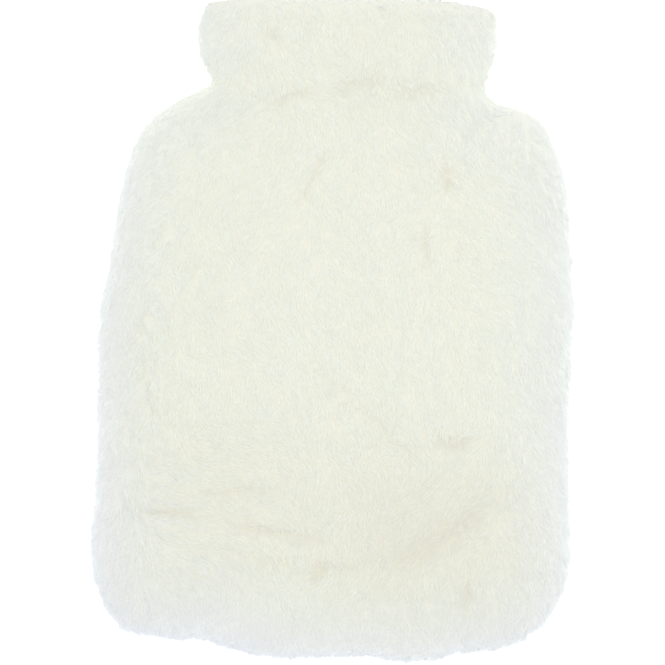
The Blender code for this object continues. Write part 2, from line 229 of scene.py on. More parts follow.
# Skins and their edges.
EVENING_PASSES = 3
RIM_ROUNDS = 2  # times that a skin's rim is brought to the outline
RIM_SMOOTHING = 6
RIM_HEIGHT, RIM_DEPTH = 24 * MM, 18 * MM  # how far off the seam's height, and how far in, it moves
GAP_REACH, GAP_SMOOTHING = 3, 12
FACES_OUT, FACES_UP = 0.3, 0.02  # least share of a normal that makes a point outside
LIP = 3 * MM  # wool that turns over the collar's top edge
RIM_INSIDE = 12 * MM  # farther in than this, what faces the seam is hide
LEAST_HEIGHT = 0.6 * MM  # of a skin over the floor
SKIN_HELD_IN = 0.5 * MM

# The roll of wool in the seam.
ROLL_WIDTH, ROLL_HEIGHT = 6 * MM, 8 * MM
ROLL_SIDES = 14
ROLL_END = 4  # rings over which it rounds off at each end

# Locks.
RIM_ZONE = 5 * MM  # how far in from the outline the locks stand free
LEAST_TUFTS = 200
TUFT_TURN, LOCK_TURN = 0.22, 0.16  # spread of the ways that they lie, in radians
TIP_SCATTER = 1.1 * MM  # spread of how far the tufts reach past the outline
FOOT_REACH = 2.3 * MM  # how much further they reach at the foot
LEVEL_SHARE = 0.9  # of a free lock's length, what takes it outwards
RIM_LIFT = math.radians(65)
TOP_EDGE = 172 * MM  # above this, the locks that face up the collar are short
TOP_SHORTNESS = 0.45
ROOT_DEPTH = 0.3 * MM
EDGE_SLACK, SIDE_SLACK = 0.8 * MM, 2.5 * MM  # how far a tip may pass the outline
ROLL_SPREAD, MOST_ROLL = 0.13, 0.8  # of the locks about their own length, in radians
LIT_BELOW = 7 * MM  # how far below the seam the locks at the rim are still shaded as if facing up
LIT_UP, LIT_LEVELLED, LIT_ROUNDED = 1.4, 0.8, 0.04  # how far their normals lean up, off, and apart
LEAST_LOCK_HEIGHT = 0.2 * MM


class WoolSettings(bpy.types.PropertyGroup):
    """Sizes of the skins and of the locks of wool."""

    grid: FloatProperty(
        name="Skin grid",
        description="Spacing of a skin's points",
        default=0.0022,
        unit="LENGTH",
    )
    pile_depth: FloatProperty(
        name="Pile depth",
        description="Wool between the skin and the solid's outside",
        default=0.0011,
        unit="LENGTH",
    )
    lock_length: FloatProperty(
        name="Lock length",
        description="Length of a lock of wool",
        default=0.0070,
        unit="LENGTH",
    )
    lock_width: FloatProperty(
        name="Lock width",
        description="Width of a lock",
        default=0.00026,
        unit="LENGTH",
    )
    lift: FloatProperty(
        name="Lift",
        description="Angle of a lock off the skin at its root",
        default=math.radians(6),
        unit="ROTATION",
    )
    loft: FloatProperty(
        name="Loft",
        description="How far the locks lie off the skin",
        default=0.00036,
        unit="LENGTH",
    )
    gather: FloatProperty(
        name="Gather",
        description="How far the locks of a tuft draw together",
        default=0.12,
        subtype="FACTOR",
    )
    front_locks: IntProperty(name="Front locks", description="Locks on the front", default=140000)
    back_locks: IntProperty(name="Back locks", description="Locks on the back", default=60000)
    rim_locks: IntProperty(name="Rim locks", description="Locks over the seam", default=36000)


class WoolColours(bpy.types.PropertyGroup):
    """Colours of the wool and the hide."""

    cream: FloatVectorProperty(
        name="Cream",
        description="Wool on the crown",
        subtype="COLOR",
        default=(0.963, 0.984, 0.9),
    )
    # Rim is painted cool light, as of light shining through the thin wool at the rim.
    rim: FloatVectorProperty(
        name="Rim",
        description="Thin wool at the rim",
        subtype="COLOR",
        default=(0.93, 0.953, 0.985),
    )
    # Root is the yellower wool deep in the pile, and also the colour of painted shade in folds, hollows
    # and on the bed.
    root: FloatVectorProperty(
        name="Root",
        description="Wool deep in the pile",
        subtype="COLOR",
        default=(0.82, 0.79, 0.665),
    )
    hide: FloatVectorProperty(
        name="Hide",
        description="Suede side of the skin",
        subtype="COLOR",
        default=(0.66, 0.56, 0.43),
    )


class StudioSettings(bpy.types.PropertyGroup):
    """The camera, the lights and the floor."""

    lens: FloatProperty(
        name="Lens",
        description="Focal length, in millimetres",
        default=100.0,
        unit="CAMERA",
    )
    view_width: FloatProperty(
        name="View width",
        description="Width of the picture at the seam's height",
        default=0.3606,
        unit="LENGTH",
    )
    key: FloatProperty(
        name="Key light",
        description="Power of the light above, in watts",
        default=5.5,
        unit="POWER",
    )
    key_place: FloatVectorProperty(
        name="Key place",
        description="Where the light above hangs",
        subtype="TRANSLATION",
        default=(0.12, 0.2, 1.45),
    )
    room: FloatProperty(name="Room light", description="Strength of the even light", default=0.798)
    floor: FloatVectorProperty(
        name="Floor",
        description="Colour of the floor",
        subtype="COLOR",
        default=(0.85, 0.85, 0.86),
    )
    glow: FloatVectorProperty(
        name="Floor glow",
        description="Colour of the light from the floor",
        subtype="COLOR",
        default=(0.93, 0.98, 1.0),
    )
    glow_strength: FloatProperty(
        name="Glow strength",
        description="Strength of the light from the floor",
        default=1.15,
    )


class Value:
    """A shader socket that takes part in Python expressions, each adding a Math node."""

    def __init__(self, finish, socket):
        self.finish, self.socket = finish, socket

    def __add__(self, other):
        return self.finish.maths("ADD", self, other)

    __radd__ = __add__

    def __sub__(self, other):
        return self.finish.maths("SUBTRACT", self, other)

    def __rsub__(self, other):
        return self.finish.maths("SUBTRACT", other, self)

    def __mul__(self, other):
        return self.finish.maths("MULTIPLY", self, other)

    __rmul__ = __mul__


class Finish:
    """One material: its shader, and the nodes that feed it."""

    def __init__(self, name, **constants):
        self.material = bpy.data.materials.new(name)
        self.material.use_nodes = True
        self.tree = self.material.node_tree
        self.shader = self.tree.nodes["Principled BSDF"]
        for socket, value in constants.items():
            self.shader.inputs[socket.replace("_", " ")].default_value = value

    def add(self, kind, settings=None, sockets=None):
        """A node of a type, with its settings made first and then its sockets filled or linked."""
        node = self.tree.nodes.new(kind)
        for name, value in (settings or {}).items():
            setattr(node, name, value)
        for key, value in (sockets or {}).items():
            self.fill(node.inputs[key], value)
        return node

    def fill(self, socket, value):
        """Link a socket to a value or another socket, or give it a constant."""
        if isinstance(value, Value):
            self.tree.links.new(value.socket, socket)
        elif isinstance(value, bpy.types.NodeSocket):
            self.tree.links.new(value, socket)
        else:
            socket.default_value = value

    def maths(self, operation, first, second):
        node = self.add("ShaderNodeMath", {"operation": operation}, {0: first, 1: second})
        return Value(self, node.outputs[0])

    def attribute(self, name):
        node = self.add("ShaderNodeAttribute", {"attribute_name": name})
        return Value(self, node.outputs["Fac"])

    def mix(self, factor, first, second, blend="MIX"):
        """A colour between two colours."""
        node = self.add(
            "ShaderNodeMix",
            {"data_type": "RGBA", "blend_type": blend, "clamp_factor": True},
            {"Factor": factor, 6: first, 7: second},
        )
        return node.outputs[2]

    def noise(self, scale, detail, stretch=(1.0, 1.0, 1.0)):
        place = self.add("ShaderNodeTexCoord").outputs["Object"]
        stretched = self.add("ShaderNodeMapping", None, {"Vector": place, "Scale": stretch})
        sockets = {"Vector": stretched.outputs[0], "Scale": scale, "Detail": detail}
        return Value(self, self.add("ShaderNodeTexNoise", None, sockets).outputs["Fac"])

    def colour(self, colour):
        self.fill(self.shader.inputs["Base Color"], colour)

    def bump(self, height, strength, distance):
        sockets = {"Strength": strength, "Distance": distance, "Height": height}
        self.fill(self.shader.inputs["Normal"], self.add("ShaderNodeBump", None, sockets).outputs[0])


def opaque(colour):
    return (*colour, 1.0)


def wool_colour(finish, colours, depth, shade=0.0):
    """Colour of wool from its piece's marks: painted cool light near the rim, root tint with painted
    shade in a fold, and its own tone.
    """
    # Cream turns to the rim colour where painted cool light falls.
    crown = finish.mix(finish.attribute("painted_rim_light"), opaque(colours.cream), opaque(colours.rim))
    # depth draws it to the root colour: a root tint on the locks, painted shade on the bed.
    deep = finish.attribute("deep") * 0.5 + depth * (1.0 - finish.attribute("painted_rim_light") * 0.7)
    tone = finish.mix(deep, crown, opaque(colours.root))
    # shade is painted shade where the painted cool light is.
    light = finish.attribute("own") * 0.015 + 0.985 - finish.attribute("painted_rim_light") * shade
    pale = finish.add("ShaderNodeCombineColor", None, {0: light, 1: light, 2: light})
    return finish.mix(1.0, tone, pale.outputs[0], "MULTIPLY")


def lock_finish(colours):
    """Wool of the locks: yellower towards the root, paler at the tip."""
    matte = {"Roughness": 0.9, "Sheen_Weight": 0.25, "Sheen_Roughness": 0.5}
    finish = Finish("lock wool", **matte, Specular_IOR_Level=0.15)
    depth = (1.0 - finish.attribute("along")) * 0.03
    finish.colour(wool_colour(finish, colours, depth))


def skin_finish(colours):
    """Wool between the locks: mottled, with a fine grain that runs with the nap, drawn towards the root
    colour as painted shade of the locks over it, and darker at the rim as painted shade.
    """
    matte = {"Roughness": 0.95, "Sheen_Weight": 0.25, "Sheen_Roughness": 0.5}
    finish = Finish("wool bed", **matte, Specular_IOR_Level=0.15)
    tufts = finish.noise(260.0, 3.0)
    grain = finish.noise(900.0, 2.0, (1.0, 0.25, 1.0))
    # tufts * 0.2 + 0.5 is painted shade of the locks over the bed, and 0.1 is painted shade at the rim.
    finish.colour(wool_colour(finish, colours, tufts * 0.2 + 0.5, 0.1))
    finish.bump(tufts * 0.7 + grain * 0.3, 0.5, 0.8 * MM)


def hide_finish(colours):
    """Suede on the inside of the skin: mottled, with a short nap."""
    finish = Finish("hide", Roughness=0.9, Sheen_Weight=0.3, Specular_IOR_Level=0.2)
    cloud = finish.noise(22.0, 4.0)
    suede = finish.noise(1400.0, 2.0)
    pale = [min(1.0, part * 1.25) for part in colours.hide]
    finish.colour(finish.mix(cloud * 0.6 + suede * 0.4, opaque(colours.hide), opaque(pale)))
    finish.bump(suede, 0.3, 0.3 * MM)


def column_at(places, table):
    """A table's second column, in its own units, where the first has some values in metres."""
    first, second = (np.array(column) for column in zip(*table))
    return np.interp(places, first * MM, second)


def softened(line):
    """A line whose points, apart from its ends, are drawn towards their neighbours."""
    line[1:-1] = (line[:-2] + 2 * line[1:-1] + line[2:]) / 4
    return line


def chained(points, start):
    """Points in order, each followed by the nearest of those that are left."""
    left, chain, here = set(range(len(points))), [], start
    while left:
        chain.append(here)
        left.discard(here)
        if left:
            rest = np.array(sorted(left))
            here = rest[np.argmin(np.linalg.norm(points[rest] - points[here], axis=1))]
    return points[chain]


def seam_outline():
    """Plan points of the wool's outline, from the collar's left corner round the foot to its right."""
    points = np.array([v.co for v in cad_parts["rim_wool"].data.vertices])
    level = abs(points[:, 2] - SEAM_HEIGHT) < 0.2 * MM
    tips = np.unique(np.round(points[level], 6), axis=0)[:, :2]
    tips = tips[tips[:, 1] < SHOULDER * MM]
    highest_left = np.argmax(np.where(tips[:, 0] < 0, tips[:, 1], -1.0))
    foot = softened(chained(tips, highest_left))
    line = np.vstack([np.array(LEFT_NECK) * MM, foot, np.array(RIGHT_NECK) * MM])
    along = np.concatenate([[0], np.cumsum(np.linalg.norm(np.diff(line, axis=0), axis=1))])
    at = np.linspace(0, along[-1], int(along[-1] / OUTLINE_SPACING))
    return softened(np.stack([np.interp(at, along, line[:, k]) for k in range(2)], axis=1))


def way_out(line):
    """The level way out of a line in plan, at each of its points."""
    way = np.gradient(line, axis=0)
    way /= np.linalg.norm(way, axis=1, keepdims=True)
    return np.stack([way[:, 1], -way[:, 0]], axis=1)


class Outline:
    """The outline in plan, with the way out of it at each point."""

    def __init__(self):
        self.points = seam_outline()
        self.out = way_out(self.points)
        for edge in EDGE_SHIFTS:
            far = np.linalg.norm(self.points / MM - (edge.across, edge.along), axis=1)
            shift = edge.further * MM * np.exp(-((far / edge.over) ** 2))
            self.points += self.out * shift[:, None]
        self.out = way_out(self.points)
        self.places = np.column_stack([self.points, np.zeros(len(self.points))])
        self.tree = KDTree(len(self.points))
        for k, place in enumerate(self.places):
            self.tree.insert(place, k)
        self.tree.balance()

    def nearest(self, places):
        """(index, distance) of the outline's nearest point to each place."""
        found = [self.tree.find((x, y, 0.0))[1:] for x, y in places[:, :2]]
        return np.array([f[0] for f in found]), np.array([f[1] for f in found])

    def inward(self, places):
        """(index, distance) of the outline's nearest point, the distance below 0 outside it."""
        index, _ = self.nearest(places)
        return index, -((places[:, :2] - self.points[index]) * self.out[index]).sum(axis=1)

    def towards_collar(self, index):
        """How squarely the outline faces the collar."""
        return np.clip(self.out[index, 1], 0, 1)

    def towards_foot(self, index):
        """How squarely the outline faces the foot."""
        return np.clip(-self.out[index, 1], 0, 1)


OUTLINE = Outline()


def collar_top(points):
    """How far along the collar's top edge lies, straight above or below each point."""
    return column_at(points[:, 0], COLLAR_TOP) * MM


def fringe(index):
    """How far the locks reach beyond the skins at points of the outline."""
    reach = column_at(OUTLINE.points[index, 1], FRINGE) * MM
    return reach - FRINGE_DROP * OUTLINE.towards_collar(index)


def held_in(points, slack):
    """Points brought back where they pass the outline or the collar's top by more than some slack."""
    index, inward = OUTLINE.inward(points)
    held = points.copy()
    held[:, :2] -= OUTLINE.out[index] * np.maximum(-inward - slack, 0)[:, None]
    held[:, 1] = np.minimum(held[:, 1], collar_top(held) + slack * 0.5)
    return held


def ridged(fold, points, spread=1.0):
    """(share, aside): 1 along a fold's middle and 0 away from it, and how far aside a point is."""
    turn = math.radians(fold.angle)
    x, y = points[:, 0] / MM - fold.across, points[:, 1] / MM - fold.along
    u = (x * math.cos(turn) + y * math.sin(turn)) / (fold.length / 2)
    v = (y * math.cos(turn) - x * math.sin(turn)) / (fold.width * spread / 2)
    return np.exp(-(u**4) - v**2), v


def uneven(points, waves):
    """The sum of some waves at each point."""
    total = np.zeros(len(points))
    for wave in waves:
        spots = points / (wave.spacing * MM) + wave.seed * UP
        total += wave.size * np.array([noise.noise(Vector(spot)) for spot in spots])
    return total


def unit(vectors):
    return vectors / np.maximum(np.linalg.norm(vectors, axis=-1, keepdims=True), 1e-12)


def along_skin(ways, normals):
    """Ways laid flat on the skin."""
    return unit(ways - (ways * normals).sum(axis=1, keepdims=True) * normals)


def turned(ways, normals, angles):
    """Ways on the skin, turned by some angles."""
    angles = angles[:, None]
    return ways * np.cos(angles) + np.cross(normals, ways) * np.sin(angles)


def mesh_arrays(mesh):
    """(points, normals, triangles) of a mesh."""
    count = len(mesh.vertices)
    points, normals = np.zeros(count * 3), np.zeros(count * 3)
    mesh.vertices.foreach_get("co", points)
    mesh.vertices.foreach_get("normal", normals)
    mesh.calc_loop_triangles()
    triangles = np.zeros(len(mesh.loop_triangles) * 3, np.int32)
    mesh.loop_triangles.foreach_get("vertices", triangles)
    return points.reshape(-1, 3), normals.reshape(-1, 3), triangles.reshape(-1, 3)


def neighbour_mean(mesh, values):
    """The mean of each point's neighbours."""
    edges = np.zeros(len(mesh.edges) * 2, np.int32)
    mesh.edges.foreach_get("vertices", edges)
    a, b = edges.reshape(-1, 2).T
    number = len(values)
    count = np.maximum(np.bincount(a, minlength=number) + np.bincount(b, minlength=number), 1)
    sums = [np.bincount(a, part[b], number) + np.bincount(b, part[a], number) for part in values.T]
    return np.stack(sums, axis=1) / count[:, None]


def evened(mesh, points):
    """Points moved towards their neighbours and back, so that steps go and the size stays."""
    for share in (0.5, -0.52) * EVENING_PASSES:
        points = points + share * (neighbour_mean(mesh, points) - points)
    return points


def even_copy(node, grid):
    """A new mesh with the node's form on an even grid."""
    bm = bmesh.new()
    bm.from_mesh(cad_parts[node].data)
    bmesh.ops.remove_doubles(bm, verts=bm.verts, dist=1e-6)
    mesh = bpy.data.meshes.new(node + "_form")
    bm.to_mesh(mesh)
    bm.free()
    rough = bpy.data.objects.new(node + "_form", mesh)
    bpy.context.scene.collection.objects.link(rough)
    remesh = rough.modifiers.new("Even grid", "REMESH")
    remesh.mode = "VOXEL"
    remesh.voxel_size = grid
    bpy.context.view_layer.update()
    shown = rough.evaluated_get(bpy.context.evaluated_depsgraph_get())
    even = bpy.data.meshes.new_from_object(shown)
    bpy.data.objects.remove(rough)
    bpy.data.meshes.remove(mesh)
    return even


def marks(points):
    """(painted_rim_light, deep) of wool at each point: the share of painted cool light near the rim and
    the collar's top, and how far down in a fold, where root tint and painted shade go.
    """
    _, far = OUTLINE.nearest(points)
    sideways = points[:, 0] / FULLY_ASIDE
    painted_rim_light = column_at(points[:, 1], RIM_LIGHT_SHARE) * (1 - COOL_LEAN * np.clip(sideways, -1, 1))
    low_left = np.clip(LOW_START - points[:, 1], 0, LOW_RANGE) * np.clip(-sideways, 0, 1)
    band = COOL_BAND + COOL_BAND_LOW * low_left + COOL_BAND_RIGHT * np.clip(sideways, 0, 1)
    painted_rim_light *= np.clip(1 - far / band, 0, 1) ** COOL_FADE
    # The collar's top edge gets painted cool light too.
    lip = 1 - (collar_top(points) - points[:, 1]) / COOL_LIP
    painted_rim_light = np.maximum(painted_rim_light, LIP_LIGHT_SHARE * np.clip(lip, 0, 1))
    deep = np.zeros(len(points))
    for fold in PARTINGS:
        deep += ridged(fold, points, COLOUR_SPREAD)[0] * fold.warmth * PARTING_TINT_AND_SHADE
    # Hollows add painted shade only.
    for fold in HOLLOWS:
        deep += ridged(fold, points)[0] * fold.warmth * HOLLOW_SHADE
    return np.clip(painted_rim_light, 0, 1), np.clip(deep * (points[:, 2] > SEAM_HEIGHT), 0, 1)


def set_mark(mesh, name, values):
    attribute = mesh.attributes.new(name, "FLOAT", "POINT")
    attribute.data.foreach_set("value", values.astype(np.float32))


def mark_skin(mesh, points):
    """Give a skin or the roll its marks."""
    painted_rim_light, deep = marks(points)
    set_mark(mesh, "painted_rim_light", painted_rim_light)
    set_mark(mesh, "deep", deep)
    set_mark(mesh, "own", np.full(len(points), SKIN_TONE))


def finished(name, mesh, materials):
    """A piece in the scene, with its materials."""
    if len(mesh.polygons) == 0:
        raise RuntimeError(f"{name} has no faces")
    obj = bpy.data.objects.new(name, mesh)
    bpy.context.scene.collection.objects.link(obj)
    for material in materials:
        mesh.materials.append(bpy.data.materials[material])
    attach(obj, "root")
    return obj


def is_outside(points, normals, side):
    """Whether each point of a panel's surface looks out, and not into the hollow or the seam."""
    index, inward = OUTLINE.inward(points)
    faces_out = (OUTLINE.out[index] * normals[:, :2]).sum(axis=1) > FACES_OUT
    lip = points[:, 1] > collar_top(points) - LIP
    return (normals[:, 2] * side > FACES_UP) | (faces_out & (inward < RIM_INSIDE)) | lip


def rim_gap(index, room):
    """How far the rim lies from its place, at each point of the outline."""
    gap = np.full(len(OUTLINE.points), 1.0)
    np.minimum.at(gap, index, room)
    gap = np.min([np.roll(gap, k) for k in range(-GAP_REACH, GAP_REACH + 1)], axis=0)
    for _ in range(GAP_SMOOTHING):
        gap = softened(gap)
    return gap


def brought_to_outline(mesh, points, outside, pile_depth):
    """Points of a skin whose rim follows the outline of the wool, less the locks' reach."""
    moved = points.copy()
    beside_seam = np.clip(1.3 - abs(points[:, 2] - SEAM_HEIGHT) / RIM_HEIGHT, 0, 1)
    for _ in range(RIM_ROUNDS):
        index, inward = OUTLINE.inward(moved)
        room = inward - fringe(index) + pile_depth
        gap = rim_gap(index[outside], room[outside])
        near = beside_seam * np.clip(1.5 - inward / RIM_DEPTH, 0, 1)
        shift = OUTLINE.out[index] * (gap[index] * near * outside)[:, None]
        for _ in range(RIM_SMOOTHING):
            shift = (shift + neighbour_mean(mesh, shift)) / 2
        moved[:, :2] += shift
    return moved


def make_skin(node, side, settings):
    """(mesh, outside) of a panel's skin, drawn in by the depth of its pile."""
    mesh = even_copy(node, settings.grid)
    mesh.vertices.foreach_set("co", evened(mesh, mesh_arrays(mesh)[0]).ravel())
    mesh.update()
    points, normals, _ = mesh_arrays(mesh)
    outside = is_outside(points, normals, side)
    height = uneven(points, PILE_WAVES) * MM - settings.pile_depth
    if side > 0:
        for fold in PARTINGS:
            height -= ridged(fold, points)[0] * fold.depth * PARTING_DEPTH
    moved = brought_to_outline(mesh, points, outside, settings.pile_depth)
    moved += normals * (height * outside)[:, None]
    moved = held_in(moved, -SKIN_HELD_IN)
    moved[:, 2] = np.maximum(moved[:, 2], LEAST_HEIGHT)
    mesh.vertices.foreach_set("co", moved.ravel())
    mesh.update()
    mesh.shade_smooth()
    mark_skin(mesh, mesh_arrays(mesh)[0])
    return mesh, outside


# Where locks are rooted, and the surface that they lie on.
Bed = namedtuple("Bed", "places normals surface")

# How locks draw together: locks in a tuft, how far they gather, and how far they pass the outline.
Tufting = namedtuple("Tufting", "size gather reach")


def make_bed(mesh, outside, count, rng):
    """Roots spread evenly over the part of a mesh that is outside."""
    points, normals, triangles = mesh_arrays(mesh)
    triangles = triangles[outside[triangles].all(axis=1)]
    surface = BVHTree.FromPolygons(points.tolist(), triangles.tolist())
    a, b, c = (points[triangles[:, k]] for k in range(3))
    area = np.linalg.norm(np.cross(b - a, c - a), axis=1)
    edges = np.cumsum(area) / area.sum()
    i = np.searchsorted(edges, (np.arange(count) + rng.random(count)) / count).clip(0, len(area) - 1)
    u, v = rng.random((2, count, 1))
    u, v = np.where(u + v > 1, 1 - u, u), np.where(u + v > 1, 1 - v, v)
    places = a[i] + u * (b[i] - a[i]) + v * (c[i] - a[i])
    n = [normals[triangles[i, k]] for k in range(3)]
    return Bed(places, unit(n[0] + u * (n[1] - n[0]) + v * (n[2] - n[0])), surface)


def nap(points, normals):
    """The way that the wool lies at each place: down to the foot, and out over the rim."""
    index, far = OUTLINE.nearest(points)
    edge = np.exp(-far / NAP_EDGE)
    way = np.tile(np.array([0.0, -1.0]), (len(points), 1))
    front = points[:, 2] > SEAM_HEIGHT
    for turn in TURNS:
        x = (points[:, 0] / MM - turn.across) / turn.wide
        y = (points[:, 1] / MM - turn.along) / turn.tall
        weight = (turn.share * np.exp(-(x**2) - y**2) * front)[:, None]
        angle = math.radians(turn.angle)
        way = way * (1 - weight) + weight * np.array([math.cos(angle), math.sin(angle)])
    for fold in PARTINGS:
        weight, aside = ridged(fold, points, NAP_SPREAD)
        angle = math.radians(fold.angle)
        away = np.array([-math.sin(angle), math.cos(angle)])
        way = way + (NAP_ASIDE * weight * np.sign(aside) * front)[:, None] * away
    swirl = uneven(points, NAP_WAVES)
    c, s = np.cos(swirl), np.sin(swirl)
    way = np.stack([way[:, 0] * c - way[:, 1] * s, way[:, 0] * s + way[:, 1] * c], axis=1)
    outward = NAP_OUT - NAP_OUT_DROP * OUTLINE.towards_collar(index)
    way = way + (outward * edge)[:, None] * OUTLINE.out[index]
    fall = np.where(front, -NAP_FALL, NAP_FALL) * edge
    lip = np.where(points[:, 1] > LIP_START, np.where(front, NAP_LIP, -NAP_LIP), 0.0)
    return along_skin(np.column_stack([way, fall + lip]), normals)


def centre_lines(roots, normals, ways, lengths, lifts):
    """Points (lock, step, xyz) along locks that rise from the skin and lie down towards their tips."""
    steps = np.diff(LOCK_STEPS)
    lines = [roots]
    for k, step in enumerate(steps):
        angle = (lifts * (1 - 0.8 * (k + 0.5) / len(steps)))[:, None]
        way = np.cos(angle) * ways + np.sin(angle) * normals
        lines.append(lines[-1] + way * (lengths * step)[:, None])
    return np.stack(lines, axis=1)


def at_rim(far):
    """1 at the outline, and 0 well inside it."""
    return np.exp(-((far / RIM_ZONE) ** 2))


def freedom(places):
    """How free the wool stands at each place: 1 at the outline, and 0 well inside it or by the collar."""
    index, far = OUTLINE.nearest(places)
    return at_rim(far) * (1 - OUTLINE.towards_collar(index))


def laid_on(surface, places, heights):
    """The places brought to some heights above a surface."""
    laid = np.empty_like(places)
    for k, (place, height) in enumerate(zip(places, heights)):
        spot, normal, _, _ = surface.find_nearest(Vector(place))
        laid[k] = spot + normal * height
    return laid


def lay_tufts(places, normals, settings, reach, rng):
    """(lines, ways, lengths, lifts) of the lock in the middle of each tuft."""
    count = len(places)
    ways = unit(turned(nap(places, normals), normals, rng.normal(0, TUFT_TURN, count)))
    lengths = settings.lock_length * rng.uniform(0.8, 1.15, count)
    index, far = OUTLINE.nearest(places)
    free = freedom(places)
    beyond = rng.normal(reach, TIP_SCATTER, count) + FOOT_REACH * OUTLINE.towards_foot(index)
    beyond += uneven(OUTLINE.places[index], TUFT_WAVES) * MM
    lengths += free * ((far + beyond) / LEVEL_SHARE - lengths)
    up_the_collar = (normals[:, 1] > 0.5) & (places[:, 1] > TOP_EDGE)
    lengths *= np.where(up_the_collar, TOP_SHORTNESS, 1.0)
    lifts = settings.lift * rng.uniform(0.4, 1.5, count)
    lifts += RIM_LIFT * free * rng.uniform(0.7, 1.3, count)
    return centre_lines(places, normals, ways, lengths, lifts), ways, lengths, lifts


def lay_locks(bed, tuft_lines, ways, lengths, lifts, settings, gather, rng):
    """Lines of all the locks, each drawn towards its tuft's and laid on the skin."""
    places, normals, surface = bed
    count = len(places)
    ways = along_skin(turned(ways, normals, rng.normal(0, LOCK_TURN, count)), normals)
    lengths = lengths * rng.uniform(0.7, 1.1, count)
    lifts = lifts * rng.uniform(0.6, 1.4, count)
    lines = centre_lines(places - normals * ROOT_DEPTH, normals, ways, lengths, lifts)
    free = freedom(places)[:, None]
    pull = (gather + 0.5 * (1 - gather) * free[:, :, None]) * (LOCK_STEPS**1.5)[None, :, None]
    lines = lines + pull * (tuft_lines - lines)
    for k in (1, 2):
        laid = laid_on(surface, lines[:, k], settings.loft * rng.uniform(0.4, 1.2, count))
        lines[:, k] = laid + free * (lines[:, k] - laid)
    index, _ = OUTLINE.nearest(places)
    slack = np.abs(rng.normal(0.0, EDGE_SLACK, count))
    slack += SIDE_SLACK * np.clip(1 - 2 * OUTLINE.out[index, 1], 0, 1)
    for k in (1, 2):
        lines[:, k] = held_in(lines[:, k], slack)
    lines[:, :, 2] = np.maximum(lines[:, :, 2], (0.25 + 0.5 * rng.random((count, 1))) * MM)
    return lines


def ribbons(bed, lines, width, rng):
    """(corners, normals) of flat, tapering locks along some lines."""
    places, normals, _ = bed
    count = len(places)
    _, far = OUTLINE.nearest(places)
    rim = (at_rim(far) * (places[:, 2] > SEAM_HEIGHT - LIT_BELOW))[:, None]
    heading = unit(lines[:, 2] - lines[:, 0])
    lit = unit(normals + LIT_UP * rim * UP)
    lit = unit(lit - LIT_LEVELLED * (lit * heading).sum(axis=1, keepdims=True) * heading)
    sides = unit(np.cross(lit, heading))
    roll = np.clip(rng.normal(0, ROLL_SPREAD, count), -MOST_ROLL, MOST_ROLL)[:, None]
    flat = unit(sides * np.cos(roll) + lit * np.sin(roll))
    half = (width / 2 * rng.uniform(0.7, 1.3, count) * (1 - 0.5 * freedom(places)))[:, None]
    corners = np.empty((count, 5, 3))
    soft = np.empty((count, 5, 3))
    for k in range(2):
        for s, edge in enumerate((-1, 1)):
            corners[:, 2 * k + s] = lines[:, k] + flat * half * edge * LOCK_TAPER[k]
            soft[:, 2 * k + s] = unit(lit + LIT_ROUNDED * edge * sides)
    corners[:, 4] = lines[:, 2]
    soft[:, 4] = lit
    corners[:, :, 2] = np.maximum(corners[:, :, 2], LEAST_LOCK_HEIGHT)
    return corners, soft


def stepped(values, steps, rng):
    """Values in a few even steps, rounded up or down by chance, so that no step shows as a line."""
    rounded = np.floor(values * (steps - 1) + rng.random(len(values)))
    return np.clip(rounded, 0, steps - 1) / (steps - 1)


def lock_mesh(name, corners, soft, lock_marks):
    """Mesh of locks, with their marks and a map in which locks of the same marks share a cell."""
    count = len(corners)
    mesh = bpy.data.meshes.new(name)
    mesh.vertices.add(count * 5)
    mesh.vertices.foreach_set("co", corners.ravel())
    loops = (np.arange(count)[:, None] * 5 + LOCK_CORNERS).ravel()
    mesh.loops.add(len(loops))
    mesh.loops.foreach_set("vertex_index", loops)
    starts = (np.arange(count)[:, None] * 7 + np.array([0, 4])).ravel()
    mesh.polygons.add(len(starts))
    mesh.polygons.foreach_set("loop_start", starts)
    mesh.update(calc_edges=True)
    along = np.repeat(LOCK_STEPS, 2)[:5]
    set_mark(mesh, "along", np.tile(along, count))

    cell = np.zeros(count)
    for mark, steps in LOCK_MARKS.items():
        set_mark(mesh, mark, np.repeat(lock_marks[mark], 5))
        cell = cell * steps + np.round(lock_marks[mark] * (steps - 1))
    wide = math.ceil(math.sqrt(math.prod(LOCK_MARKS.values())))
    u = (np.array([0.2, 0.8, 0.2, 0.8, 0.5])[None] + (cell % wide)[:, None]) / wide
    v = ((along * 0.8 + 0.1)[None] + (cell // wide)[:, None]) / wide
    layer = mesh.uv_layers.new(name=BAKE_MAP)
    layer.data.foreach_set("uv", np.stack([u, v], axis=-1)[:, LOCK_CORNERS].ravel())
    mesh.shade_smooth()
    mesh.normals_split_custom_set_from_vertices(soft.reshape(-1, 3).tolist())
    return mesh


def make_locks(name, bed, tufting, settings, rng):
    """A piece of many narrow locks, drawn together in tufts."""
    count = len(bed.places)
    middles = rng.choice(count, max(LEAST_TUFTS, int(count / tufting.size)), replace=False)
    tree = KDTree(len(middles))
    for k, i in enumerate(middles):
        tree.insert(bed.places[i], k)
    tree.balance()
    own = np.array([tree.find(place)[1] for place in bed.places])
    tufts = lay_tufts(bed.places[middles], bed.normals[middles], settings, tufting.reach, rng)
    lines = lay_locks(bed, *(part[own] for part in tufts), settings, tufting.gather, rng)
    corners, soft = ribbons(bed, lines, settings.lock_width, rng)
    # painted cool rim light, and root tint with painted shade in folds
    painted_rim_light, deep = marks(bed.places)
    lock_marks = {
        "painted_rim_light": stepped(painted_rim_light, LOCK_MARKS["painted_rim_light"], rng),
        "deep": stepped(deep, LOCK_MARKS["deep"], rng),
        "own": stepped(rng.random(count), LOCK_MARKS["own"], rng),
    }
    return finished(name, lock_mesh(name, corners, soft, lock_marks), ["lock wool"])


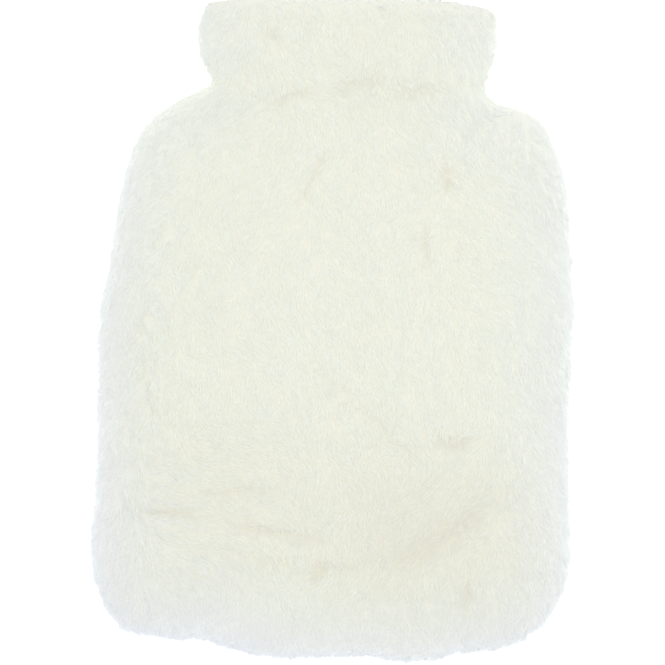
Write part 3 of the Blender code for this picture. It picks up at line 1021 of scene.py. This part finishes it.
def dress_panel(node, side, count, settings, pieces, seed):
    """A panel's skin, and its locks in some pieces from the foot up."""
    rng = np.random.default_rng(seed)
    name = node.split("_")[0]
    mesh, outside = make_skin(node, side, settings)
    _, inward = OUTLINE.inward(mesh_arrays(mesh)[0])
    hidden = ~outside & (inward > RIM_INSIDE)
    bed = make_bed(mesh, outside, count, rng)
    skin = finished(name + "_skin", mesh, ["wool bed", "hide"])
    inside = [int(hidden[list(polygon.vertices)].all()) for polygon in mesh.polygons]
    mesh.polygons.foreach_set("material_index", inside)
    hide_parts(node)
    tufting = Tufting(size=11, gather=settings.gather, reach=0.9 * MM)
    locks = []
    for k, part in enumerate(np.array_split(np.argsort(bed.places[:, 1]), pieces)):
        share = Bed(bed.places[part], bed.normals[part], bed.surface)
        locks.append(make_locks(f"{name}_locks_{k + 1}", share, tufting, settings, rng))
    return skin, locks


def rim_roll_mesh():
    """Mesh of the roll of wool that fills the seam between the skins."""
    line, out = OUTLINE.points[::2], OUTLINE.out[::2]
    inset = fringe(np.arange(0, len(OUTLINE.points), 2))
    count = len(line)
    ends = np.minimum(np.arange(count), np.arange(count)[::-1]) / ROLL_END
    size = np.sqrt(1 - (1 - np.clip(ends, 0.05, 1)) ** 2)
    middle = line - out * (inset + ROLL_WIDTH)[:, None]
    ring = np.empty((count, ROLL_SIDES, 3))
    for k in range(ROLL_SIDES):
        angle = k * 2 * math.pi / ROLL_SIDES
        ring[:, k, :2] = middle + out * (ROLL_WIDTH * size * math.cos(angle))[:, None]
        ring[:, k, 2] = SEAM_HEIGHT + ROLL_HEIGHT * size * math.sin(angle)
    faces = []
    for i in range(count - 1):
        for k in range(ROLL_SIDES):
            a, b = i * ROLL_SIDES + k, i * ROLL_SIDES + (k + 1) % ROLL_SIDES
            faces.append((a, a + ROLL_SIDES, b + ROLL_SIDES, b))
    faces.append(tuple(range(ROLL_SIDES)))
    faces.append(tuple(range((count - 1) * ROLL_SIDES, count * ROLL_SIDES))[::-1])
    mesh = bpy.data.meshes.new("rim_roll")
    mesh.from_pydata(ring.reshape(-1, 3).tolist(), [], faces)
    bm = bmesh.new()
    bm.from_mesh(mesh)
    bmesh.ops.recalc_face_normals(bm, faces=bm.faces)
    bm.to_mesh(mesh)
    bm.free()
    mesh.shade_smooth()
    return mesh


class COVER_OT_front(bpy.types.Operator):
    """Make the front's skin and wool"""

    bl_idname = "cover.front"
    bl_label = "Front panel"

    def execute(self, context):
        settings = context.scene.cover_wool
        count = settings.front_locks
        skin, locks = dress_panel("front_panel", 1, count, settings, pieces=3, seed=11)
        return {"FINISHED"}


class COVER_OT_back(bpy.types.Operator):
    """Make the back's skin and wool"""

    bl_idname = "cover.back"
    bl_label = "Back panel"

    def execute(self, context):
        settings = context.scene.cover_wool
        count = settings.back_locks
        skin, locks = dress_panel("back_panel", -1, count, settings, pieces=1, seed=12)
        return {"FINISHED"}


class COVER_OT_rim(bpy.types.Operator):
    """Make the wool over the seam"""

    bl_idname = "cover.rim"
    bl_label = "Rim wool"

    def execute(self, context):
        settings = context.scene.cover_wool
        rng = np.random.default_rng(13)
        mesh = rim_roll_mesh()
        points, normals, _ = mesh_arrays(mesh)
        mark_skin(mesh, points)
        roll = finished("rim_roll", mesh, ["wool bed"])
        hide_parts("rim_wool")
        index, _ = OUTLINE.nearest(points)
        outward = (OUTLINE.out[index] * normals[:, :2]).sum(axis=1) > 0.1
        bed = make_bed(mesh, outward, settings.rim_locks, rng)
        tufting = Tufting(size=24, gather=0.4, reach=-0.4 * MM)
        make_locks("rim_locks", bed, tufting, settings, rng)
        return {"FINISHED"}


class COVER_OT_stage(bpy.types.Operator):
    """Make the floor, the lights and the camera"""

    bl_idname = "cover.stage"
    bl_label = "Studio"

    def execute(self, context):
        settings, scene = context.scene.cover_studio, context.scene
        self.lay_floor(settings, scene)
        self.light(settings, scene)
        self.place_camera(settings, scene)
        scene.view_settings.view_transform = "Standard"
        return {"FINISHED"}

    def lay_floor(self, settings, scene):
        reach = 4.0
        corners = [(-reach, -reach, 0), (reach, -reach, 0), (reach, reach, 0), (-reach, reach, 0)]
        mesh = bpy.data.meshes.new("floor")
        mesh.from_pydata(corners, [], [(0, 1, 2, 3)])
        floor = bpy.data.objects.new("floor", mesh)
        floor.location.z = -0.2 * MM
        scene.collection.objects.link(floor)
        finish = Finish(
            "floor",
            Roughness=0.9,
            Base_Color=opaque(settings.floor),
            Specular_IOR_Level=0.1,
            Emission_Color=opaque(settings.glow),
            Emission_Strength=settings.glow_strength,
        )
        mesh.materials.append(finish.material)

    def light(self, settings, scene):
        world = bpy.data.worlds.new("room")
        scene.world = world
        world.use_nodes = True
        room = world.node_tree.nodes["Background"]
        room.inputs["Color"].default_value = (0.98, 0.99, 1.0, 1)
        room.inputs["Strength"].default_value = settings.room
        lamp = bpy.data.lights.new("key", "AREA")
        lamp.shape = "DISK"
        lamp.size = 1.2
        lamp.energy = settings.key
        lamp.color = (1.0, 0.99, 0.95)
        key = bpy.data.objects.new("key", lamp)
        place = Vector(settings.key_place)
        key.location = place
        key.rotation_euler = (-place).to_track_quat("-Z", "Y").to_euler()
        scene.collection.objects.link(key)

    def place_camera(self, settings, scene):
        camera = bpy.data.cameras.new("camera")
        camera.lens = settings.lens
        camera.sensor_width = 36.0
        distance = settings.view_width * settings.lens / camera.sensor_width
        eye = bpy.data.objects.new("camera", camera)
        eye.location = (0.0, -1 * MM, SEAM_HEIGHT + distance)
        scene.collection.objects.link(eye)
        scene.camera = eye


class COVER_PT_sidebar(bpy.types.Panel):
    """The cover's pieces and their settings"""

    bl_label = "Hot water bottle cover"
    bl_idname = "COVER_PT_sidebar"
    bl_space_type = "VIEW_3D"
    bl_region_type = "UI"
    bl_category = "Cover"

    def draw(self, context):
        scene = context.scene
        for group in (scene.cover_wool, scene.cover_colours, scene.cover_studio):
            box = self.layout.box()
            for name in group.bl_rna.properties.keys():
                if name not in ("rna_type", "name"):
                    box.prop(group, name)
        for operator in OPERATORS:
            self.layout.operator(operator.bl_idname)


OPERATORS = (COVER_OT_front, COVER_OT_back, COVER_OT_rim, COVER_OT_stage)
CLASSES = (WoolSettings, WoolColours, StudioSettings, *OPERATORS, COVER_PT_sidebar)


def register():
    for cls in CLASSES:
        bpy.utils.register_class(cls)
    bpy.types.Scene.cover_wool = PointerProperty(type=WoolSettings)
    bpy.types.Scene.cover_colours = PointerProperty(type=WoolColours)
    bpy.types.Scene.cover_studio = PointerProperty(type=StudioSettings)


def unregister():
    del bpy.types.Scene.cover_wool
    del bpy.types.Scene.cover_colours
    del bpy.types.Scene.cover_studio
    for cls in reversed(CLASSES):
        bpy.utils.unregister_class(cls)


def main():
    register()
    colours = bpy.context.scene.cover_colours
    for make_finish in (lock_finish, skin_finish, hide_finish):
        make_finish(colours)
    bpy.ops.cover.front()
    bpy.ops.cover.back()
    bpy.ops.cover.rim()
    bpy.ops.cover.stage()


if __name__ == "__main__":
    main()
